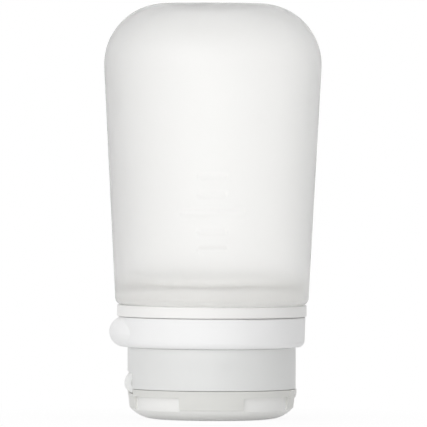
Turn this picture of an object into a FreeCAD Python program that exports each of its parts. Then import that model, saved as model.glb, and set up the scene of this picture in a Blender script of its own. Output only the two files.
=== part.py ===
"""Squeezable silicone travel bottle that stands upside down on its flip-top cap.

Millimetres, +Z up. The origin is the middle of the flat face that it stands on, under the lid. The lid's hinge
and the ear of the swivel ring are on -X, the thumb lip is on +X.
"""
import FreeCAD
import Part
import os

import Sketcher

# Driving sizes: millimetres, except angles in degrees and counts.
DIMENSIONS = (
    # Silicone bottle
    ("body_height", 66.3),
    ("body_head_radius", 24.62),
    ("body_corner_radius", 13.5),
    ("body_foot_fillet", 1.7),
    ("side_wall", 2.8),
    ("base_wall", 3.1),
    ("shoulder_wall", 4.3),
    ("shoulder_fillet", 1.5),
    # Neck ring and its screw thread
    ("neck_bore_radius", 13.9),
    ("neck_wall", 1.6),
    ("sleeve_wall", 2.1),
    ("rim_overhang", 0.7),
    ("rim_height", 1.2),
    ("rim_clearance", 0.2),
    ("flange_lip", 0.25),
    ("flange_height", 2.5),
    ("flange_fillet", 0.25),
    ("thread_pitch", 3.0),
    ("thread_depth", 0.9),
    ("thread_root_width", 1.3),
    ("thread_crest_width", 0.7),
    ("thread_embed", 0.2),
    ("thread_lead_in", 1.7),
    ("thread_run_out", 1.0),
    ("thread_clearance", 0.35),
    # Swivel ring
    ("ring_height", 6.6),
    ("ring_wall", 2.55),
    ("ring_draft", 0.2),
    ("ring_clearance", 0.25),
    ("ring_play_below", 0.05),
    ("ring_play_above", 0.1),
    ("ring_foot_fillet", 1.5),
    ("ring_top_fillet", 0.3),
    ("ear_offset", 9.5),
    ("ear_radius", 10.35),
    ("ear_bulge", 2.7),
    # Cap base
    ("collar_wall", 1.05),
    ("collar_gap", 0.3),
    ("bead_overhang", 0.45),
    ("bead_height", 0.7),
    ("ring_seat", 0.7),
    ("skirt_height", 9.07),
    ("skirt_wall", 1.7),
    ("skirt_fillet", 0.1),
    ("recess_depth", 4.52),
    ("deck_thickness", 1.6),
    ("orifice_radius", 5.2),
    ("spout_wall", 1.6),
    ("spout_length", 2.8),
    ("boss_wall", 1.8),
    # Gasket, valve and retainer
    ("gasket_thickness", 1.3),
    ("gasket_lip", 0.5),
    ("gasket_clearance", 0.25),
    ("seal_gap", 0.05),
    ("valve_ledge", 1.6),
    ("valve_flange_thickness", 1.0),
    ("valve_clearance", 0.3),
    ("valve_wall", 0.8),
    ("valve_dome_height", 1.8),
    ("slit_length", 5.0),
    ("slit_width", 0.2),
    ("seat_clearance", 0.1),
    ("retainer_stem", 1.0),
    ("retainer_head", 0.8),
    ("retainer_lip", 0.6),
    # Hinge
    ("hinge_inset", 1.6),
    ("hinge_rise", 1.32),
    ("hinge_clearance", 0.25),
    ("pin_radius", 0.8),
    ("pin_clearance", 0.05),
    ("knuckle_wall", 1.4),
    ("lid_knuckle_length", 6.0),
    ("cap_knuckle_length", 3.0),
    ("knuckle_gap", 0.2),
    ("web_width", 2.6),
    # Flip lid and compartment cover
    ("parting_gap", 0.09),
    ("lid_height", 6.59),
    ("lid_wall", 2.0),
    ("lid_floor", 1.2),
    ("ceiling_thickness", 1.0),
    ("stopper_clearance", 0.5),
    ("stopper_gap", 0.3),
    ("grip_count", 4),
    ("grip_angle", 44.0),
    ("grip_start", 45.0),
    ("grip_depth", 0.9),
    ("grip_margin", 1.5),
    ("lip_overhang", 0.2),
    ("lip_height", 1.7),
    ("lip_angle", 44.0),
    ("lid_draft", 0.5),
    ("base_edge_radius", 7.2),
    ("base_edge_inset", 6.0),
    ("standing_width", 1.3),
    ("cover_clearance", 0.1),
    ("notch_length", 2.4),
    ("notch_width", 6.0),
    ("notch_depth", 0.5),
)

# Heights, from the standing face up.
LID_FLOOR_TOP = "dims.lid_floor"
LID_TOP = "dims.lid_height"
CEILING_BOTTOM = f"({LID_TOP} - dims.ceiling_thickness)"
GRIP_TOP = f"({LID_TOP} - dims.grip_margin)"
CAP_BOTTOM = f"({LID_TOP} + dims.parting_gap)"
HINGE_Z = f"({CAP_BOTTOM} + dims.hinge_rise)"
DECK_BOTTOM = f"({CAP_BOTTOM} + dims.recess_depth)"
DECK_TOP = f"({DECK_BOTTOM} + dims.deck_thickness)"
SPOUT_BOTTOM = f"({DECK_BOTTOM} - dims.spout_length)"
VALVE_TIP = f"({DECK_BOTTOM} - dims.valve_dome_height)"
VALVE_TOP = f"({DECK_TOP} + dims.valve_flange_thickness)"
STOPPER_TOP = f"({VALVE_TIP} - dims.stopper_gap)"
BOSS_TOP = f"({VALVE_TOP} + dims.retainer_stem)"
RETAINER_TOP = f"({BOSS_TOP} + dims.retainer_head)"
GASKET_BOTTOM = f"({DECK_TOP} + dims.seal_gap)"
GASKET_TOP = f"({GASKET_BOTTOM} + dims.gasket_thickness)"
NECK_BOTTOM = f"({GASKET_TOP} + dims.seal_gap)"
RING_SEAT = f"({CAP_BOTTOM} + dims.skirt_height)"
RING_BOTTOM = f"({RING_SEAT} + dims.ring_play_below)"
RING_TOP = f"({RING_BOTTOM} + dims.ring_height)"
FLANGE_BOTTOM = f"({RING_TOP} + dims.ring_play_above)"
FLANGE_TOP = f"({FLANGE_BOTTOM} + dims.flange_height)"
COLLAR_TOP = f"({FLANGE_BOTTOM} - dims.collar_gap)"
BEAD_BOTTOM = f"({COLLAR_TOP} - dims.bead_height)"
REBATE_BOTTOM = f"({BEAD_BOTTOM} - dims.ring_clearance)"
SHOULDER_TOP = f"({FLANGE_TOP} + dims.shoulder_wall)"
NECK_RIM_TOP = f"({SHOULDER_TOP} + dims.rim_height)"
BODY_TOP = f"({FLANGE_TOP} + dims.body_height)"
CAVITY_TOP = f"({BODY_TOP} - dims.base_wall)"

# Radii, from the bore of the neck outward.
NECK_ROOT = "(dims.neck_bore_radius + dims.neck_wall)"
NECK_CREST = f"({NECK_ROOT} + dims.thread_depth)"
CAP_BORE = f"({NECK_CREST} + dims.thread_clearance)"
CAP_CREST = f"({NECK_ROOT} + dims.thread_clearance)"
COLLAR_RADIUS = f"({CAP_BORE} + dims.collar_wall)"
BEAD_RADIUS = f"({COLLAR_RADIUS} + dims.bead_overhang)"
RING_BORE = f"({COLLAR_RADIUS} + dims.ring_clearance)"
REBATE_RADIUS = f"({BEAD_RADIUS} + dims.ring_clearance)"
RING_RADIUS = f"({RING_BORE} + dims.ring_wall)"
FLANGE_RADIUS = f"({RING_RADIUS} + dims.flange_lip)"
SKIRT_RADIUS = f"({COLLAR_RADIUS} + dims.ring_seat)"
SKIRT_INNER = f"({SKIRT_RADIUS} - dims.skirt_wall)"
SLEEVE_RADIUS = "(dims.neck_bore_radius + dims.sleeve_wall)"
NECK_RIM_RADIUS = f"({SLEEVE_RADIUS} + dims.rim_overhang)"
CAVITY_FOOT_RADIUS = f"({NECK_RIM_RADIUS} + dims.shoulder_fillet + dims.rim_clearance)"
BODY_FOOT_RADIUS = f"({CAVITY_FOOT_RADIUS} + dims.side_wall)"
CAVITY_HEAD_RADIUS = "(dims.body_head_radius - dims.side_wall)"
GASKET_INNER = "(dims.neck_bore_radius - dims.gasket_lip)"
GASKET_OUTER = f"({CAP_BORE} - dims.gasket_clearance)"
SPOUT_RADIUS = "(dims.orifice_radius + dims.spout_wall)"
VALVE_FLANGE_RADIUS = "(dims.orifice_radius + dims.valve_ledge)"
DOME_RADIUS = "(dims.orifice_radius - dims.valve_clearance)"
DOME_INNER = f"({DOME_RADIUS} - dims.valve_wall)"
SEAT_RADIUS = f"({VALVE_FLANGE_RADIUS} + dims.seat_clearance)"
BOSS_RADIUS = f"({SEAT_RADIUS} + dims.boss_wall)"
RETAINER_BORE = "(dims.orifice_radius - dims.retainer_lip)"
STOPPER_RADIUS = "(dims.orifice_radius - dims.stopper_clearance)"
LID_RADIUS = SKIRT_RADIUS
LID_INNER = f"({LID_RADIUS} - dims.lid_wall)"
GRIP_FLOOR = f"({LID_RADIUS} - dims.grip_depth)"
LID_FOOT_RADIUS = f"({LID_RADIUS} - dims.lid_draft)"
EDGE_FLAT_RADIUS = f"({LID_RADIUS} - dims.base_edge_inset)"
INNER_EDGE_RADIUS = "(dims.base_edge_radius - dims.lid_floor)"
HATCH_RADIUS = f"({EDGE_FLAT_RADIUS} - dims.standing_width)"
COVER_RADIUS = f"({HATCH_RADIUS} - dims.cover_clearance)"

# Hinge, whose axis runs along Y on the -X side.
HINGE_X = f"({SKIRT_RADIUS} - dims.hinge_inset)"
KNUCKLE_RADIUS = "(dims.pin_radius + dims.knuckle_wall)"
HINGE_CLEAR_RADIUS = f"({KNUCKLE_RADIUS} + dims.hinge_clearance)"
LID_KNUCKLE_SLOT = "(dims.lid_knuckle_length + 2 * dims.knuckle_gap)"
BARREL_LENGTH = f"({LID_KNUCKLE_SLOT} + 2 * dims.cap_knuckle_length)"
BARREL_SLOT = f"({BARREL_LENGTH} + 2 * dims.knuckle_gap)"
PIN_LENGTH = f"({BARREL_LENGTH} - 2 * dims.knuckle_gap)"

doc = FreeCAD.newDocument("travel_bottle")
dims = doc.addObject("Spreadsheet::Sheet", "dims")


def fill_sheet():
    for row, (alias, size) in enumerate(DIMENSIONS, start=1):
        dims.set(f"A{row}", alias)
        dims.set(f"B{row}", str(size))
        dims.setAlias(f"B{row}", alias)
    doc.recompute()


def value(expression):
    return float(dims.evalExpression(expression))


def edge_round_height(edge_radius, radius):
    """Height, at a radius, of a round that shares the centre of the lower edge of the lid."""
    reach = f"({radius} - {EDGE_FLAT_RADIUS})"
    return f"(dims.base_edge_radius - sqrt({edge_radius} * {edge_radius} - {reach} * {reach}))"


def bulge_arc_radius(half_chord, bulge):
    return f"(({half_chord} * {half_chord} + {bulge} * {bulge}) / (2 * {bulge}))"


def new_body(label):
    body = doc.addObject("PartDesign::Body", label)
    body.Label = label
    return body


def origin_part(body, role):
    return next(part for part in body.Origin.OriginFeatures if part.Role == role)


def new_sketch(body, name, plane="XZ_Plane"):
    sketch = body.newObject("Sketcher::SketchObject", name)
    sketch.AttachmentSupport = [(origin_part(body, plane), "")]
    sketch.MapMode = "FlatFace"
    return sketch


def bind(sketch, constraint, name, expression):
    index = sketch.addConstraint(constraint)
    sketch.renameConstraint(index, name)
    sketch.setExpression(f"Constraints.{name}", expression)


def pin_point(sketch, geometry, position, tag, across, up):
    """Hold one point of a sketch at the distances across and up, given as expressions."""
    for kind, axis, expression in (("DistanceX", -2, across), ("DistanceY", -1, up)):
        if expression == "0":
            sketch.addConstraint(Sketcher.Constraint("PointOnObject", geometry, position, axis))
            continue
        size = value(expression)
        bind(sketch, Sketcher.Constraint(kind, -1, 1, geometry, position, size), f"{kind}_{tag}", expression)


def arc_between(start, end, radius, turn):
    """Arc from start to end; turn is 1 where its centre is to the left of the way along it, else -1."""
    chord = end - start
    side = FreeCAD.Vector(-chord.y, chord.x, 0).normalize()
    rise = max(radius * radius - chord.Length * chord.Length / 4, 0) ** 0.5
    centre = (start + end) / 2 + side * rise * turn
    middle = centre - side * radius * turn
    return Part.Arc(start, middle, end)


def outline(body, name, corners, plane="XZ_Plane"):
    """Closed outline through the corners. A corner is (across, up), with (radius, turn) added where an arc
    leads from it to the next one."""
    sketch = new_sketch(body, name, plane)
    points = [FreeCAD.Vector(value(corner[0]), value(corner[1]), 0) for corner in corners]
    starts = []
    ends = []
    for number, corner in enumerate(corners):
        start = points[number]
        end = points[(number + 1) % len(points)]
        if len(corner) == 2:
            geometry = sketch.addGeometry(Part.LineSegment(start, end))
            starts.append((geometry, 1))
            ends.append((geometry, 2))
            continue
        radius, turn = corner[2:]
        geometry = sketch.addGeometry(arc_between(start, end, value(radius), turn))
        bind(sketch, Sketcher.Constraint("Radius", geometry, value(radius)), f"Radius_{number}", radius)
        starts.append((geometry, 1 if turn > 0 else 2))
        ends.append((geometry, 2 if turn > 0 else 1))
    for number, corner in enumerate(corners):
        sketch.addConstraint(Sketcher.Constraint("Coincident", *ends[number - 1], *starts[number]))
        pin_point(sketch, *starts[number], str(number), corner[0], corner[1])
    return sketch


def circle(body, name, across, up, radius):
    sketch = new_sketch(body, name)
    middle = FreeCAD.Vector(value(across), value(up), 0)
    geometry = sketch.addGeometry(Part.Circle(middle, FreeCAD.Vector(0, 0, 1), value(radius)))
    pin_point(sketch, geometry, 3, "middle", across, up)
    bind(sketch, Sketcher.Constraint("Radius", geometry, value(radius)), "Radius_circle", radius)
    return sketch


def rectangle(left, right, bottom, top):
    return [(left, bottom), (right, bottom), (right, top), (left, top)]


def revolve(body, name, sketch, kind="PartDesign::Revolution", angle=None):
    """Turn an outline about its upright axis: all the way, or by an angle centred on its plane."""
    feature = body.newObject(kind, name)
    feature.Profile = sketch
    feature.ReferenceAxis = (sketch, ["V_Axis"])
    feature.Angle = 360
    if angle:
        feature.Midplane = True
        feature.setExpression("Angle", angle)
    doc.recompute()
    return feature


def extrude(body, name, sketch, length, kind="PartDesign::Pad"):
    """Add or cut an outline by an equal length on both sides of its plane."""
    feature = body.newObject(kind, name)
    feature.Profile = sketch
    feature.SideType = "Symmetric"
    feature.setExpression("Length", length)
    doc.recompute()
    return feature


def round_edges(body, name, radius, places):
    """Fillet the circles about the Z axis at the given (radius, height) places."""
    base = body.Tip
    names = []
    for place_radius, place_height in places:
        for number, edge in enumerate(base.Shape.Edges, start=1):
            if not isinstance(edge.Curve, Part.Circle):
                continue
            same_radius = abs(edge.Curve.Radius - value(place_radius)) < 1e-4
            if same_radius and abs(edge.Curve.Center.z - value(place_height)) < 1e-4:
                names.append(f"Edge{number}")
    fillet = body.newObject("PartDesign::Fillet", name)
    fillet.Base = (base, names)
    fillet.setExpression("Radius", radius)
    doc.recompute()
    return fillet


def screw_thread(body, name, root, crest, middle, height):
    """Right-hand helical ridge from root to crest, whose first turn has its middle at the given height."""
    half_root = "dims.thread_root_width / 2"
    half_crest = "dims.thread_crest_width / 2"
    ridge = outline(body, f"{name}_ridge", [
        (root, f"{middle} - {half_root}"),
        (crest, f"{middle} - {half_crest}"),
        (crest, f"{middle} + {half_crest}"),
        (root, f"{middle} + {half_root}"),
    ])
    helix = body.newObject("PartDesign::AdditiveHelix", name)
    helix.Profile = ridge
    helix.ReferenceAxis = (ridge, ["V_Axis"])
    helix.Mode = "pitch-height-angle"
    helix.setExpression("Pitch", "dims.thread_pitch")
    helix.setExpression("Height", height)
    doc.recompute()
    return helix


def make_bottle_body():
    body = new_body("bottle_body")
    shell = outline(body, "shell_outline", [
        (SLEEVE_RADIUS, FLANGE_TOP),
        (BODY_FOOT_RADIUS, FLANGE_TOP),
        ("dims.body_head_radius", BODY_TOP),
        ("0", BODY_TOP),
        ("0", CAVITY_TOP),
        (CAVITY_HEAD_RADIUS, CAVITY_TOP),
        (CAVITY_FOOT_RADIUS, SHOULDER_TOP),
        (SLEEVE_RADIUS, SHOULDER_TOP),
    ])
    revolve(body, "shell", shell)
    round_edges(body, "base_corner", "dims.body_corner_radius", [("dims.body_head_radius", BODY_TOP)])
    round_edges(body, "cavity_corner", "dims.body_corner_radius - dims.side_wall",
                [(CAVITY_HEAD_RADIUS, CAVITY_TOP)])
    round_edges(body, "foot_edge", "dims.body_foot_fillet", [(BODY_FOOT_RADIUS, FLANGE_TOP)])
    round_edges(body, "shoulder_corner", "dims.shoulder_fillet", [(CAVITY_FOOT_RADIUS, SHOULDER_TOP)])
    return body


def make_neck_ring():
    body = new_body("neck_ring")
    ring = outline(body, "neck_outline", [
        ("dims.neck_bore_radius", NECK_BOTTOM),
        (NECK_ROOT, NECK_BOTTOM),
        (NECK_ROOT, FLANGE_BOTTOM),
        (FLANGE_RADIUS, FLANGE_BOTTOM),
        (FLANGE_RADIUS, FLANGE_TOP),
        (SLEEVE_RADIUS, FLANGE_TOP),
        (SLEEVE_RADIUS, SHOULDER_TOP),
        (NECK_RIM_RADIUS, SHOULDER_TOP),
        (NECK_RIM_RADIUS, NECK_RIM_TOP),
        ("dims.neck_bore_radius", NECK_RIM_TOP),
    ])
    revolve(body, "neck", ring)
    round_edges(body, "flange_edges", "dims.flange_fillet",
                [(FLANGE_RADIUS, FLANGE_BOTTOM), (FLANGE_RADIUS, FLANGE_TOP)])
    screw_thread(body, "neck_thread", f"{NECK_ROOT} - dims.thread_embed", NECK_CREST,
                 f"{NECK_BOTTOM} + dims.thread_lead_in",
                 f"{FLANGE_BOTTOM} - {NECK_BOTTOM} - 2 * dims.thread_lead_in")
    return body


def make_swivel_ring():
    body = new_body("swivel_ring")
    disc = outline(body, "disc_outline", [
        ("0", RING_BOTTOM),
        (f"{RING_RADIUS} - dims.ring_draft", RING_BOTTOM),
        (RING_RADIUS, RING_TOP),
        ("0", RING_TOP),
    ])
    revolve(body, "disc", disc)
    round_edges(body, "foot_edge", "dims.ring_foot_fillet", [(f"{RING_RADIUS} - dims.ring_draft", RING_BOTTOM)])
    round_edges(body, "top_edge", "dims.ring_top_fillet", [(RING_RADIUS, RING_TOP)])
    ear_arc = bulge_arc_radius("(dims.ring_height / 2)", "dims.ear_bulge")
    ear = outline(body, "ear_outline", [
        ("0", RING_BOTTOM),
        ("dims.ear_radius", RING_BOTTOM, ear_arc, 1),
        ("dims.ear_radius", RING_TOP),
        ("0", RING_TOP),
    ])
    ear.setExpression("AttachmentOffset.Base.x", "-dims.ear_offset")
    revolve(body, "ear", ear)
    bore = outline(body, "bore_outline", [
        ("0", f"{RING_BOTTOM} - dims.ring_height"),
        (RING_BORE, f"{RING_BOTTOM} - dims.ring_height"),
        (RING_BORE, REBATE_BOTTOM),
        (REBATE_RADIUS, REBATE_BOTTOM),
        (REBATE_RADIUS, f"{RING_TOP} + dims.ring_height"),
        ("0", f"{RING_TOP} + dims.ring_height"),
    ])
    revolve(body, "bore", bore, "PartDesign::Groove")
    return body


def make_cap_base():
    body = new_body("cap_base")
    cap = outline(body, "cap_outline", [
        ("dims.orifice_radius", SPOUT_BOTTOM),
        (SPOUT_RADIUS, SPOUT_BOTTOM),
        (SPOUT_RADIUS, DECK_BOTTOM),
        (SKIRT_INNER, DECK_BOTTOM),
        (SKIRT_INNER, CAP_BOTTOM),
        (SKIRT_RADIUS, CAP_BOTTOM),
        (SKIRT_RADIUS, RING_SEAT),
        (COLLAR_RADIUS, RING_SEAT),
        (COLLAR_RADIUS, BEAD_BOTTOM),
        (BEAD_RADIUS, BEAD_BOTTOM),
        (COLLAR_RADIUS, COLLAR_TOP),
        (CAP_BORE, COLLAR_TOP),
        (CAP_BORE, DECK_TOP),
        (BOSS_RADIUS, DECK_TOP),
        (BOSS_RADIUS, BOSS_TOP),
        (SEAT_RADIUS, BOSS_TOP),
        (SEAT_RADIUS, DECK_TOP),
        ("dims.orifice_radius", DECK_TOP),
    ])
    revolve(body, "cap", cap)
    round_edges(body, "skirt_edges", "dims.skirt_fillet", [(SKIRT_RADIUS, CAP_BOTTOM), (SKIRT_RADIUS, RING_SEAT)])
    barrel = circle(body, "barrel_outline", f"-{HINGE_X}", HINGE_Z, KNUCKLE_RADIUS)
    extrude(body, "barrel", barrel, BARREL_LENGTH)
    slot = outline(body, "slot_outline", rectangle(
        f"-{HINGE_X} - {HINGE_CLEAR_RADIUS}", f"-{HINGE_X} + {HINGE_CLEAR_RADIUS}",
        CEILING_BOTTOM, f"{HINGE_Z} + {HINGE_CLEAR_RADIUS}"))
    extrude(body, "lid_knuckle_slot", slot, LID_KNUCKLE_SLOT, "PartDesign::Pocket")
    pin_hole = circle(body, "pin_hole_outline", f"-{HINGE_X}", HINGE_Z, "dims.pin_radius")
    extrude(body, "pin_hole", pin_hole, BARREL_LENGTH, "PartDesign::Pocket")
    thread_middle = f"{NECK_BOTTOM} + dims.thread_lead_in + dims.thread_pitch / 2"
    screw_thread(body, "cap_thread", f"{CAP_BORE} + dims.thread_embed", CAP_CREST, thread_middle,
                 f"{COLLAR_TOP} - dims.thread_run_out - ({thread_middle})")
    return body


def make_cap_gasket():
    body = new_body("cap_gasket")
    section = outline(body, "gasket_outline", rectangle(GASKET_INNER, GASKET_OUTER, GASKET_BOTTOM, GASKET_TOP))
    revolve(body, "gasket", section)
    return body


def make_slit_valve():
    body = new_body("slit_valve")
    inner_rise = "(dims.valve_dome_height - dims.valve_wall)"
    dome = outline(body, "dome_outline", [
        (DOME_RADIUS, DECK_TOP),
        (VALVE_FLANGE_RADIUS, DECK_TOP),
        (VALVE_FLANGE_RADIUS, VALVE_TOP),
        (DOME_INNER, VALVE_TOP),
        (DOME_INNER, DECK_BOTTOM, bulge_arc_radius(DOME_INNER, inner_rise), -1),
        ("0", f"{VALVE_TIP} + dims.valve_wall"),
        ("0", VALVE_TIP, bulge_arc_radius(DOME_RADIUS, "dims.valve_dome_height"), 1),
        (DOME_RADIUS, DECK_BOTTOM),
    ])
    revolve(body, "dome", dome)
    half_length = "dims.slit_length / 2"
    half_width = "dims.slit_width / 2"
    for name, across, up in (("slit_x", half_length, half_width), ("slit_y", half_width, half_length)):
        slit = outline(body, f"{name}_outline", rectangle(f"-{across}", across, f"-{up}", up), "XY_Plane")
        extrude(body, name, slit, f"2 * {DECK_BOTTOM}", "PartDesign::Pocket")
    return body


def make_valve_retainer():
    body = new_body("valve_retainer")
    section = outline(body, "retainer_outline", [
        (RETAINER_BORE, VALVE_TOP),
        (SEAT_RADIUS, VALVE_TOP),
        (SEAT_RADIUS, BOSS_TOP),
        (BOSS_RADIUS, BOSS_TOP),
        (BOSS_RADIUS, RETAINER_TOP),
        (RETAINER_BORE, RETAINER_TOP),
    ])
    revolve(body, "retainer", section)
    return body


def make_hinge_pin():
    pin = doc.addObject("Part::Cylinder", "hinge_pin")
    pin.Label = "hinge_pin"
    pin.setExpression("Radius", "dims.pin_radius")
    pin.setExpression("Height", PIN_LENGTH)
    pin.Placement.Rotation = FreeCAD.Rotation(FreeCAD.Vector(1, 0, 0), -90)
    pin.setExpression("Placement.Base.x", f"-{HINGE_X}")
    pin.setExpression("Placement.Base.y", f"-{PIN_LENGTH} / 2")
    pin.setExpression("Placement.Base.z", HINGE_Z)
    return pin


def make_flip_lid():
    body = new_body("flip_lid")
    lid = outline(body, "lid_outline", [
        ("0", CEILING_BOTTOM),
        (LID_INNER, CEILING_BOTTOM),
        (LID_INNER, edge_round_height(INNER_EDGE_RADIUS, LID_INNER), INNER_EDGE_RADIUS, -1),
        (EDGE_FLAT_RADIUS, LID_FLOOR_TOP),
        (HATCH_RADIUS, LID_FLOOR_TOP),
        (HATCH_RADIUS, "0"),
        (EDGE_FLAT_RADIUS, "0", "dims.base_edge_radius", 1),
        (LID_FOOT_RADIUS, edge_round_height("dims.base_edge_radius", LID_FOOT_RADIUS)),
        (LID_RADIUS, LID_TOP),
        (STOPPER_RADIUS, LID_TOP),
        (STOPPER_RADIUS, STOPPER_TOP),
        ("0", STOPPER_TOP),
    ])
    revolve(body, "lid", lid)
    lip = outline(body, "lip_outline", [
        (GRIP_FLOOR, f"{LID_TOP} - dims.lip_height"),
        (LID_RADIUS, f"{LID_TOP} - dims.lip_height"),
        (f"{LID_RADIUS} + dims.lip_overhang", f"{LID_TOP} - dims.lip_height / 2"),
        (f"{LID_RADIUS} + dims.lip_overhang", LID_TOP),
        (GRIP_FLOOR, LID_TOP),
    ])
    revolve(body, "thumb_lip", lip, angle="dims.lip_angle")
    barrel_slot = circle(body, "barrel_slot_outline", f"-{HINGE_X}", HINGE_Z, HINGE_CLEAR_RADIUS)
    extrude(body, "barrel_slot", barrel_slot, BARREL_SLOT, "PartDesign::Pocket")
    web = outline(body, "web_outline", rectangle(
        f"-{HINGE_X} - dims.web_width / 2", f"-{HINGE_X} + dims.web_width / 2", CEILING_BOTTOM, HINGE_Z))
    extrude(body, "knuckle_web", web, "dims.lid_knuckle_length")
    knuckle = circle(body, "knuckle_outline", f"-{HINGE_X}", HINGE_Z, KNUCKLE_RADIUS)
    extrude(body, "knuckle", knuckle, "dims.lid_knuckle_length")
    pin_hole = circle(body, "pin_hole_outline", f"-{HINGE_X}", HINGE_Z, "dims.pin_radius + dims.pin_clearance")
    extrude(body, "pin_hole", pin_hole, BARREL_SLOT, "PartDesign::Pocket")
    grip = outline(body, "grip_outline", rectangle(
        GRIP_FLOOR, f"{LID_RADIUS} + dims.grip_depth", LID_FLOOR_TOP, GRIP_TOP))
    grip.AttachmentOffset = FreeCAD.Placement(
        FreeCAD.Vector(), FreeCAD.Rotation(FreeCAD.Vector(0, 1, 0), value("dims.grip_start")))
    grip.setExpression("AttachmentOffset.Rotation.Angle", "dims.grip_start")
    first_grip = revolve(body, "grip", grip, "PartDesign::Groove", "dims.grip_angle")
    grips = body.newObject("PartDesign::PolarPattern", "grips")
    grips.Originals = [first_grip]
    grips.Axis = (origin_part(body, "Z_Axis"), [""])
    grips.Angle = 360
    grips.setExpression("Occurrences", "dims.grip_count")
    body.Tip = grips
    return body


def make_compartment_cover():
    body = new_body("compartment_cover")
    disc = outline(body, "disc_outline", [
        ("0", "0"),
        (COVER_RADIUS, "0"),
        (COVER_RADIUS, LID_FLOOR_TOP),
        ("0", LID_FLOOR_TOP),
    ])
    revolve(body, "disc", disc)
    notch = outline(body, "notch_outline", rectangle(
        f"{COVER_RADIUS} - dims.notch_length", f"{COVER_RADIUS} + dims.notch_length",
        "-dims.notch_width / 2", "dims.notch_width / 2"), "XY_Plane")
    extrude(body, "nail_notch", notch, "2 * dims.notch_depth", "PartDesign::Pocket")
    return body


def write_parts(parts):
    for item in doc.Objects:
        if "Invalid" in item.State or "Error" in item.State:
            raise RuntimeError(f"{item.Name} failed: {item.State}")
    os.makedirs("parts", exist_ok=True)
    for part in parts:
        if part.Shape.isNull() or not part.Shape.isValid() or len(part.Shape.Solids) != 1:
            raise RuntimeError(f"{part.Label} is not one valid solid")
        part.Shape.exportStep(f"parts/{part.Label}.step")


fill_sheet()
pieces = [
    make_bottle_body(),
    make_neck_ring(),
    make_swivel_ring(),
    make_cap_base(),
    make_cap_gasket(),
    make_slit_valve(),
    make_valve_retainer(),
    make_hinge_pin(),
    make_flip_lid(),
    make_compartment_cover(),
]
doc.recompute()
write_parts(pieces)
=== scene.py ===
import math

import bpy
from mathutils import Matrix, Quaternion, Vector


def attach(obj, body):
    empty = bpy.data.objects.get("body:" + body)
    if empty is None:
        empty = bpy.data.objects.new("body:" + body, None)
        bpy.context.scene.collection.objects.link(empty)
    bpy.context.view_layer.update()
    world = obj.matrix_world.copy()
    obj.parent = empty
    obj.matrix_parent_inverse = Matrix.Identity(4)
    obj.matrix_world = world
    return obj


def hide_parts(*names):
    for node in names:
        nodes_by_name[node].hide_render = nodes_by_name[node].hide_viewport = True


MM = 0.001

# Silicone bottle: the same outline as its CAD solid, in millimetres.
MOUTH_RADIUS = 15.95
FOOT_RADIUS = 21.2
HEAD_RADIUS = 24.62
FOOT_Z = 24.95
HEAD_Z = 91.3
FOOT_FILLET = 1.7
HEAD_CORNER = 13.5
CAVITY_FOOT_RADIUS = 18.4
CAVITY_HEAD_RADIUS = 21.82
CAVITY_FOOT_Z = 29.3
CAVITY_HEAD_Z = 88.2
CAVITY_FILLET = 1.5
CAVITY_CORNER = 10.7

# Steps of the mesh along the foot's arc, the wall, the head's arc and the flat head, and round the axis.
OUTER_STEPS = (8, 130, 36, 8)
INNER_STEPS = (6, 30, 28, 8)
FRONT_STEPS = 100
REST_STEPS = 104
FRONT_HALF_ANGLE = 24

# Raised fill-level bars on the front, in millimetres: height above the floor, half length and half width.
FILL_BARS = (
    (37.5, 3.2, 0.55),
    (41.5, 3.2, 0.55),
    (45.5, 7.0, 0.7),
    (49.5, 3.2, 0.55),
    (53.5, 3.2, 0.55),
)
RELIEF = 0.28
RELIEF_EDGE = 0.45

# Roughness of the silicone: a matt outside, and a dull inner shoulder that blends into a smooth inside.
FINISH = "finish"
OUTSIDE_FINISH = 0.5
INSIDE_FINISH = 0.16
SHOULDER_FINISH = 0.95
SHOULDER_BLEND = 4.5

# Frosted plastics and silicone: index of refraction, and noise scales per metre.
SILICONE_IOR = 1.41
RING_IOR = 1.45
PLASTIC_IOR = 1.49
SILICONE_GRAIN = 1400.0
SEAL_GRAIN = 1600.0
PLASTIC_GRAIN = 1800.0
GRAIN_DETAIL = 2.0
GRAIN_DEPTH = 0.0001
GRAIN_ROUGHNESS = 0.05
CLOUD_SCALE = 90.0
CLOUD_DETAIL = 4.0
CLOUD_FROM = 0.3
CLOUD_TO = 0.7
ABSORBED_COLOUR = (0.5, 0.5, 0.49, 1)

# Painted light: where a plastic turns paler to lift the shade in hollows and undersides, in millimetres
# about or along the upright axis: start and end of the blend.
ABOUT_AXIS = (1, 1, 0)
ALONG_AXIS = (0, 0, 1)
NECK_PAINTED_LIGHT_INSIDE = (19.05, 18.95)
LID_PAINTED_LIGHT_GRIPS = (17.77, 17.67)
LID_PAINTED_LIGHT_FOOT = (2.9, 1.4)

# Stage, in metres: the floor keeps the shadow close to the bottle and is plain white farther out.
FLOOR_HALF = 0.32
FLOOR_COLOUR = (0.93, 0.93, 0.93, 1)
SHADOW_FULL = 0.02
SHADOW_END = 0.07
WHITE_NEAR = 0.93
WHITE_FAR = 1.0
WHITE = (1, 1, 1, 1)
SEEN_STRENGTH = 1.0
AMBIENT_STRENGTH = 0.4

# Lamps: name, place, size, power, seen in gloss, seen through the silicone.
LAMPS = (
    ("key", (-0.36, -0.98, 0.16), 1.0, 4.8, True, False),
    ("front_fill", (-0.36, -0.98, 0.3), 1.6, 4.3, True, True),
    ("overhead", (0.0, 0.1, 1.3), 1.4, 8.0, False, False),
)
LAMP_AIM = (0, 0, 0.045)

# Camera: the photograph was taken from a long way off, a little above the middle of the bottle.
EYE = (0.27, -1500.0, 66.0)
AIM = (0.27, 0.0, 45.1)
VIEW_WIDTH = 93.9
ROLL = 0.24
SENSOR_WIDTH = 36.0
CLIP_START = 0.01
CLIP_END = 20.0


def clamp(value):
    return min(max(value, 0.0), 1.0)


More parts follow.
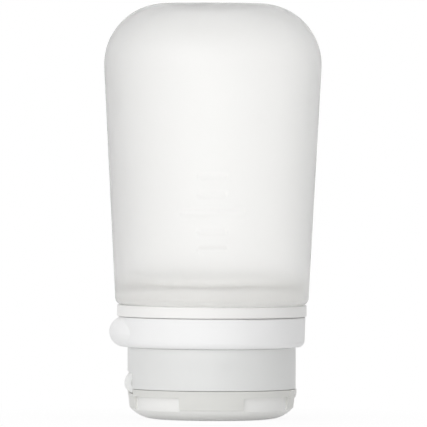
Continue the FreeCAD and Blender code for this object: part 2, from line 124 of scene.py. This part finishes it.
def rounded(before, corner, after, radius, steps):
    """Points of the arc that rounds a corner between two straight lines."""
    to_before = (Vector(before) - Vector(corner)).normalized()
    to_after = (Vector(after) - Vector(corner)).normalized()
    half = to_before.angle(to_after) / 2
    middle = Vector(corner) + (to_before + to_after).normalized() * radius / math.sin(half)
    reach = radius / math.tan(half)
    start = Vector(corner) + to_before * reach - middle
    end = Vector(corner) + to_after * reach - middle
    sweep = start.angle_signed(end)
    points = []
    for step in range(steps + 1):
        angle = math.atan2(start.y, start.x) - sweep * step / steps
        points.append((middle.x + radius * math.cos(angle), middle.y + radius * math.sin(angle)))
    return points


def spread(start, end, steps):
    """Points between two, both ends left out."""
    return [tuple(Vector(start).lerp(Vector(end), step / steps)) for step in range(1, steps)]


def profile(foot, head, fillet, corner, steps):
    """Points of one side of the wall, from the mouth round foot and head to just short of the axis."""
    foot_steps, wall_steps, head_steps, top_steps = steps
    mouth = (MOUTH_RADIUS, foot[1])
    top = (0.0, head[1])
    foot_arc = rounded(mouth, foot, head, fillet, foot_steps)
    head_arc = rounded(foot, head, top, corner, head_steps)
    wall = spread(foot_arc[-1], head_arc[0], wall_steps)
    return [mouth] + foot_arc + wall + head_arc + spread(head_arc[-1], top, top_steps)


def relief(across, up):
    """How far the fill-level bars stand out at a point of the front, in millimetres."""
    height = 0.0
    for bar_z, half_length, half_width in FILL_BARS:
        beyond_x = max(abs(across) - half_length + half_width, 0.0)
        beyond_z = up - bar_z
        inside = half_width - math.hypot(beyond_x, beyond_z)
        share = clamp(inside / RELIEF_EDGE + 0.5)
        height = max(height, RELIEF * share * share * (3 - 2 * share))
    return height


def turn_angles():
    """Angles from the front, closer together where the fill-level bars are."""
    front_sweep = 2 * FRONT_HALF_ANGLE
    rest_sweep = 360 - front_sweep
    front = [-FRONT_HALF_ANGLE + front_sweep * step / FRONT_STEPS for step in range(FRONT_STEPS)]
    rest = [FRONT_HALF_ANGLE + rest_sweep * step / REST_STEPS for step in range(REST_STEPS)]
    return [math.radians(angle) for angle in front + rest]


def bottle_mesh():
    """Closed skin of the silicone: outside, inside and mouth, with its roughness on the points."""
    outer = profile((FOOT_RADIUS, FOOT_Z), (HEAD_RADIUS, HEAD_Z), FOOT_FILLET, HEAD_CORNER, OUTER_STEPS)
    inner = profile(
        (CAVITY_FOOT_RADIUS, CAVITY_FOOT_Z),
        (CAVITY_HEAD_RADIUS, CAVITY_HEAD_Z),
        CAVITY_FILLET,
        CAVITY_CORNER,
        INNER_STEPS,
    )
    angles = turn_angles()
    count = len(angles)
    verts = []
    for ring, (radius, z) in enumerate(outer + inner):
        for angle in angles:
            out = radius
            if ring < len(outer) and abs(angle) <= math.radians(FRONT_HALF_ANGLE):
                out += relief(radius * angle, z)
            verts.append((out * math.sin(angle) * MM, -out * math.cos(angle) * MM, z * MM))
    faces = []

    def pairs(ring):
        """Neighbouring points of a ring."""
        return [(ring * count + step, ring * count + (step + 1) % count) for step in range(count)]

    def wall(first, rings, inward):
        for ring in range(first, first + rings - 1):
            for (here, after), (above, above_after) in zip(pairs(ring), pairs(ring + 1)):
                quad = (here, after, above_after, above)
                faces.append(quad[::-1] if inward else quad)

    def pole(ring, z, inward):
        verts.append((0.0, 0.0, z * MM))
        for here, after in pairs(ring):
            tri = (here, after, len(verts) - 1)
            faces.append(tri[::-1] if inward else tri)
        return len(verts) - 1

    wall(0, len(outer), False)
    wall(len(outer), len(inner), True)
    top_pole = pole(len(outer) - 1, HEAD_Z, False)
    pole(len(outer) + len(inner) - 1, CAVITY_HEAD_Z, True)
    for (inside, inside_after), (outside, outside_after) in zip(pairs(len(outer)), pairs(0)):
        faces.append((inside, inside_after, outside_after, outside))
    mesh = bpy.data.meshes.new("bottle_skin")
    mesh.from_pydata(verts, [], faces)
    mesh.update()
    mesh.shade_smooth()
    finish = mesh.attributes.new(FINISH, "FLOAT", "POINT")
    for index, vert in enumerate(verts):
        if index < len(outer) * count or index == top_pole:
            finish.data[index].value = OUTSIDE_FINISH
        else:
            share = clamp((vert[2] / MM - CAVITY_FOOT_Z) / SHOULDER_BLEND)
            finish.data[index].value = SHOULDER_FINISH + (INSIDE_FINISH - SHOULDER_FINISH) * share
    return mesh


def new_material(name):
    material = bpy.data.materials.new(name)
    material.use_nodes = True
    material.node_tree.nodes.clear()
    return material, material.node_tree.nodes, material.node_tree.links


def shader_of(material):
    return next(node for node in material.node_tree.nodes if node.type == "BSDF_PRINCIPLED")


def frosted(name, colour, roughness, transmission, ior, grain, bump, absorb=0.0, cloud_depth=0.02):
    """Milky see-through plastic or silicone with a fine moulded grain."""
    material, nodes, links = new_material(name)
    output = nodes.new("ShaderNodeOutputMaterial")
    shader = nodes.new("ShaderNodeBsdfPrincipled")
    place = nodes.new("ShaderNodeTexCoord")
    cloud = nodes.new("ShaderNodeTexNoise")
    fine = nodes.new("ShaderNodeTexNoise")
    tint = nodes.new("ShaderNodeValToRGB")
    gloss = nodes.new("ShaderNodeMapRange")
    grain_relief = nodes.new("ShaderNodeBump")
    cloud.inputs["Scale"].default_value = CLOUD_SCALE
    cloud.inputs["Detail"].default_value = CLOUD_DETAIL
    fine.inputs["Scale"].default_value = grain
    fine.inputs["Detail"].default_value = GRAIN_DETAIL
    clouded, plain = tint.color_ramp.elements
    clouded.position = CLOUD_FROM
    clouded.color = (*(channel * (1 - cloud_depth) for channel in colour), 1)
    plain.position = CLOUD_TO
    plain.color = (*colour, 1)
    gloss.inputs["To Min"].default_value = roughness - GRAIN_ROUGHNESS
    gloss.inputs["To Max"].default_value = roughness + GRAIN_ROUGHNESS
    grain_relief.inputs["Strength"].default_value = bump
    grain_relief.inputs["Distance"].default_value = GRAIN_DEPTH
    shader.inputs["Transmission Weight"].default_value = transmission
    shader.inputs["IOR"].default_value = ior
    links.new(place.outputs["Object"], cloud.inputs["Vector"])
    links.new(place.outputs["Object"], fine.inputs["Vector"])
    links.new(cloud.outputs["Fac"], tint.inputs["Fac"])
    links.new(tint.outputs["Color"], shader.inputs["Base Color"])
    links.new(fine.outputs["Fac"], gloss.inputs["Value"])
    links.new(gloss.outputs["Result"], shader.inputs["Roughness"])
    links.new(fine.outputs["Fac"], grain_relief.inputs["Height"])
    links.new(grain_relief.outputs["Normal"], shader.inputs["Normal"])
    links.new(shader.outputs["BSDF"], output.inputs["Surface"])
    if absorb:
        volume = nodes.new("ShaderNodeVolumeAbsorption")
        volume.inputs["Color"].default_value = ABSORBED_COLOUR
        volume.inputs["Density"].default_value = absorb
        links.new(volume.outputs["Volume"], output.inputs["Volume"])
    return material


def add_finish(material):
    """Add the roughness that a mesh carries on its points to that of the grain."""
    nodes = material.node_tree.nodes
    links = material.node_tree.links
    shader = shader_of(material)
    grain = shader.inputs["Roughness"].links[0].from_socket
    finish = nodes.new("ShaderNodeAttribute")
    total = nodes.new("ShaderNodeMath")
    finish.attribute_name = FINISH
    total.operation = "ADD"
    links.new(finish.outputs["Fac"], total.inputs[0])
    links.new(grain, total.inputs[1])
    links.new(total.outputs[0], shader.inputs["Roughness"])


def paint_light_by_axis(material, axes, start, end, colour):
    """Blend a plastic into another colour by the distance along or about its upright axis, here a paler
    colour that paints light into shaded places.
    """
    nodes = material.node_tree.nodes
    links = material.node_tree.links
    shader = shader_of(material)
    tinted = shader.inputs["Base Color"].links[0].from_socket
    place = nodes.new("ShaderNodeTexCoord")
    flat = nodes.new("ShaderNodeVectorMath")
    reach = nodes.new("ShaderNodeVectorMath")
    inside = nodes.new("ShaderNodeMapRange")
    mix = nodes.new("ShaderNodeMix")
    flat.operation = "MULTIPLY"
    flat.inputs[1].default_value = axes
    reach.operation = "LENGTH"
    inside.inputs["From Min"].default_value = start * MM
    inside.inputs["From Max"].default_value = end * MM
    mix.data_type = "RGBA"
    mix.inputs["B"].default_value = (*colour, 1)
    links.new(place.outputs["Object"], flat.inputs[0])
    links.new(flat.outputs["Vector"], reach.inputs[0])
    links.new(reach.outputs["Value"], inside.inputs["Value"])
    links.new(inside.outputs["Result"], mix.inputs["Factor"])
    links.new(tinted, mix.inputs["A"])
    links.new(mix.outputs["Result"], shader.inputs["Base Color"])


def dress(piece, material):
    piece.data.materials.clear()
    piece.data.materials.append(material)


def seen_directly(nodes, links):
    """Socket that is 1 for rays from the camera and for those seen in gloss or through frosted walls."""
    path = nodes.new("ShaderNodeLightPath")
    socket = path.outputs["Is Camera Ray"]
    for kind in ("Is Glossy Ray", "Is Transmission Ray"):
        either = nodes.new("ShaderNodeMath")
        either.operation = "MAXIMUM"
        links.new(socket, either.inputs[0])
        links.new(path.outputs[kind], either.inputs[1])
        socket = either.outputs[0]
    return socket


def floor_material():
    """Pale floor that shows as plain white, apart from a share of the bottle's shadow close to it."""
    material, nodes, links = new_material("floor_white")
    output = nodes.new("ShaderNodeOutputMaterial")
    shader = nodes.new("ShaderNodeBsdfDiffuse")
    white = nodes.new("ShaderNodeEmission")
    mix = nodes.new("ShaderNodeMixShader")
    place = nodes.new("ShaderNodeTexCoord")
    reach = nodes.new("ShaderNodeVectorMath")
    clear = nodes.new("ShaderNodeMapRange")
    share = nodes.new("ShaderNodeMath")
    shader.inputs["Color"].default_value = FLOOR_COLOUR
    white.inputs["Strength"].default_value = SEEN_STRENGTH
    reach.operation = "LENGTH"
    share.operation = "MULTIPLY"
    clear.inputs["From Min"].default_value = SHADOW_FULL
    clear.inputs["From Max"].default_value = SHADOW_END
    clear.inputs["To Min"].default_value = WHITE_NEAR
    clear.inputs["To Max"].default_value = WHITE_FAR
    links.new(place.outputs["Object"], reach.inputs[0])
    links.new(reach.outputs["Value"], clear.inputs["Value"])
    links.new(clear.outputs["Result"], share.inputs[1])
    links.new(seen_directly(nodes, links), share.inputs[0])
    links.new(share.outputs[0], mix.inputs["Fac"])
    links.new(shader.outputs[0], mix.inputs[1])
    links.new(white.outputs[0], mix.inputs[2])
    links.new(mix.outputs[0], output.inputs["Surface"])
    return material


def make_floor():
    mesh = bpy.data.meshes.new("floor")
    corners = [(x * FLOOR_HALF, y * FLOOR_HALF, 0) for x, y in ((-1, -1), (1, -1), (1, 1), (-1, 1))]
    mesh.from_pydata(corners, [], [(0, 1, 2, 3)])
    floor = bpy.data.objects.new("floor", mesh)
    bpy.context.collection.objects.link(floor)
    floor.data.materials.append(floor_material())


def make_lamps():
    """Soft light from the front left and from above."""
    for name, place, size, power, in_gloss, through in LAMPS:
        light = bpy.data.lights.new(name, "AREA")
        light.size = size
        light.energy = power
        lamp = bpy.data.objects.new(name, light)
        lamp.location = place
        lamp.visible_camera = False
        lamp.visible_glossy = in_gloss
        lamp.visible_transmission = through
        lamp.rotation_euler = (Vector(LAMP_AIM) - Vector(place)).to_track_quat("-Z", "Y").to_euler()
        bpy.context.collection.objects.link(lamp)


def make_surround():
    """World that is white where it is seen, and lights the object less."""
    world = bpy.data.worlds.new("surround")
    bpy.context.scene.world = world
    world.use_nodes = True
    nodes = world.node_tree.nodes
    links = world.node_tree.links
    nodes.clear()
    output = nodes.new("ShaderNodeOutputWorld")
    seen = nodes.new("ShaderNodeBackground")
    ambient = nodes.new("ShaderNodeBackground")
    mix = nodes.new("ShaderNodeMixShader")
    seen.inputs["Color"].default_value = WHITE
    seen.inputs["Strength"].default_value = SEEN_STRENGTH
    ambient.inputs["Color"].default_value = WHITE
    ambient.inputs["Strength"].default_value = AMBIENT_STRENGTH
    links.new(seen_directly(nodes, links), mix.inputs["Fac"])
    links.new(ambient.outputs[0], mix.inputs[1])
    links.new(seen.outputs[0], mix.inputs[2])
    links.new(mix.outputs[0], output.inputs["Surface"])


def make_camera():
    eye = Vector(EYE) * MM
    aim = Vector(AIM) * MM
    data = bpy.data.cameras.new("camera")
    data.sensor_width = SENSOR_WIDTH
    data.lens = SENSOR_WIDTH * (aim - eye).length / (VIEW_WIDTH * MM)
    data.clip_start = CLIP_START
    data.clip_end = CLIP_END
    camera = bpy.data.objects.new("camera", data)
    camera.location = eye
    turn = (aim - eye).to_track_quat("-Z", "Y") @ Quaternion((0, 0, 1), math.radians(ROLL))
    camera.rotation_euler = turn.to_euler()
    bpy.context.collection.objects.link(camera)
    bpy.context.scene.camera = camera


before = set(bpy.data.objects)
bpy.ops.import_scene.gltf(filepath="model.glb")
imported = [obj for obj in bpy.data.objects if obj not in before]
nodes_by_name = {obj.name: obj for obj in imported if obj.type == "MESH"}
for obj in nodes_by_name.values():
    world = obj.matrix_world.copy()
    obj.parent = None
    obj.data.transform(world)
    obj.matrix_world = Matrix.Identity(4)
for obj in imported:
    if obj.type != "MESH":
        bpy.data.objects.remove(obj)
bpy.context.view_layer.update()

silicone = frosted(
    "silicone",
    (1.0, 0.998, 0.99),
    roughness=0.0,
    transmission=0.98,
    ior=SILICONE_IOR,
    grain=SILICONE_GRAIN,
    bump=0.12,
    absorb=1.0,
    cloud_depth=0.004,
)
valve_silicone = frosted(
    "valve_silicone",
    (0.98, 0.98, 0.975),
    roughness=0.38,
    transmission=0.6,
    ior=SILICONE_IOR,
    grain=SILICONE_GRAIN,
    bump=0.12,
)
neck_plastic = frosted(
    "neck_plastic",
    (0.925, 0.92, 0.905),
    roughness=0.42,
    transmission=0.05,
    ior=PLASTIC_IOR,
    grain=PLASTIC_GRAIN,
    bump=0.08,
)
ring_plastic = frosted(
    "ring_plastic",
    (0.98, 0.98, 0.98),
    roughness=0.5,
    transmission=0.1,
    ior=RING_IOR,
    grain=PLASTIC_GRAIN,
    bump=0.1,
)
cap_plastic = frosted(
    "cap_plastic",
    (0.885, 0.89, 0.88),
    roughness=0.4,
    transmission=0.15,
    ior=PLASTIC_IOR,
    grain=PLASTIC_GRAIN,
    bump=0.08,
)
lid_plastic = frosted(
    "lid_plastic",
    (0.85, 0.85, 0.82),
    roughness=0.4,
    transmission=0.15,
    ior=PLASTIC_IOR,
    grain=PLASTIC_GRAIN,
    bump=0.08,
)
seal_rubber = frosted(
    "seal_rubber",
    (0.93, 0.93, 0.925),
    roughness=0.55,
    transmission=0.15,
    ior=SILICONE_IOR,
    grain=SEAL_GRAIN,
    bump=0.15,
)
add_finish(silicone)
# Painted light: the neck's surfaces inside the silicone are painted paler to lift the shade seen through
# the shoulder.
paint_light_by_axis(neck_plastic, ABOUT_AXIS, *NECK_PAINTED_LIGHT_INSIDE, (1.0, 0.995, 0.98))
# Painted light: the lid's grip recesses and lower rounded edge are painted paler to lift the shade in
# them.
paint_light_by_axis(lid_plastic, ABOUT_AXIS, *LID_PAINTED_LIGHT_GRIPS, (1.0, 1.0, 0.985))
# Painted light: the lid's down-facing lower edge is painted paler to lift the shade it gets from the
# floor side.
paint_light_by_axis(lid_plastic, ALONG_AXIS, *LID_PAINTED_LIGHT_FOOT, (0.97, 0.97, 0.95))

bottle = bpy.data.objects.new("bottle_skin", bottle_mesh())
bpy.context.collection.objects.link(bottle)
dress(bottle, silicone)
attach(bottle, "bottle")
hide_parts("bottle_body")

for node, material in (
    ("neck_ring", neck_plastic),
    ("swivel_ring", ring_plastic),
    ("cap_base", cap_plastic),
    ("cap_gasket", seal_rubber),
    ("slit_valve", valve_silicone),
    ("valve_retainer", neck_plastic),
    ("hinge_pin", cap_plastic),
    ("flip_lid", lid_plastic),
    ("compartment_cover", lid_plastic),
):
    dress(nodes_by_name[node], material)

make_floor()
make_lamps()
make_surround()
make_camera()
bpy.context.scene.view_settings.view_transform = "Standard"
